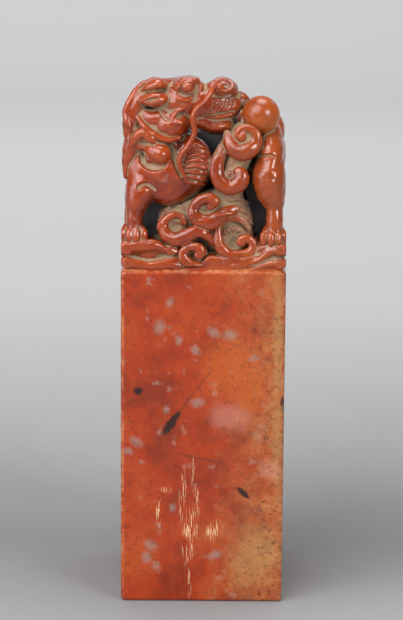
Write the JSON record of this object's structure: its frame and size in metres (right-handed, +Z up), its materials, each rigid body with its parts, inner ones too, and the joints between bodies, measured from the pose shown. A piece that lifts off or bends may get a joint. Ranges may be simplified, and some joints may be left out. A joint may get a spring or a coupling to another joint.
{
  "type": "seal stamp",
  "caption": "Square carved soapstone seal stamp: tall polished grip block with a traditional horned beast on rocks and clouds, looking back past a pearl.",
  "frame": {"origin": "middle of the seal face, which is the underside that the seal stands on", "axes": "+Z up the block to the carving, -Y towards the side where the beast's head is seen in profile, +X the way its nose points"},
  "size_m": [0.03, 0.03, 0.0978],
  "materials": {
    "polished_stone": "polished",
    "carved_stone": "waxed, with pale dust in the cuts",
    "orange_stone": "polished"
  },
  "bodies": {
    "root": {"back_cloud_1": "carved_stone", "back_cloud_2": "carved_stone", "back_cloud_3": "carved_stone", "back_cloud_4": "carved_stone", "back_cloud_5": "carved_stone", "brow": "carved_stone", "cheek": "carved_stone", "chest_fringe": "carved_stone", "cloud_bank": "carved_stone", "far_ear": "carved_stone", "far_eye": "carved_stone", "far_fore_paw": "carved_stone", "far_foreleg": "carved_stone", "far_hind_leg": "carved_stone", "far_hind_paw": "carved_stone", "far_shoulder_curl": "carved_stone", "far_whisker": "carved_stone", "front_cloud_1": "carved_stone", "front_cloud_2": "carved_stone", "front_cloud_3": "carved_stone", "front_cloud_4": "carved_stone", "front_cloud_5": "carved_stone", "front_cloud_6": "carved_stone", "grip_block": "polished_stone", "jowl_fold": "carved_stone", "left_cloud": "carved_stone", "left_rock": "carved_stone", "lower_jaw": "carved_stone", "mane_lock_1": "carved_stone", "mane_lock_2": "carved_stone", "mane_lock_3": "carved_stone", "mane_lock_4": "carved_stone", "mane_lock_5": "carved_stone", "near_ear": "carved_stone", "near_eye": "carved_stone", "near_fore_paw": "carved_stone", "near_foreleg": "carved_stone", "near_hind_leg": "carved_stone", "near_hind_paw": "carved_stone", "near_shoulder_curl": "carved_stone", "near_whisker": "carved_stone", "neck": "carved_stone", "neck_lock_1": "carved_stone", "neck_lock_2": "carved_stone", "neck_lock_3": "carved_stone", "neck_lock_4": "carved_stone", "neck_lock_5": "carved_stone", "nose": "carved_stone", "pearl": "orange_stone", "right_cloud": "carved_stone", "right_rock": "carved_stone", "rock_ledge": "carved_stone", "seal_face": "polished_stone", "skull": "carved_stone", "spine_ridge": "carved_stone", "tail": "carved_stone", "throat": "carved_stone", "torso": "carved_stone"}
  },
  "joints": []
}
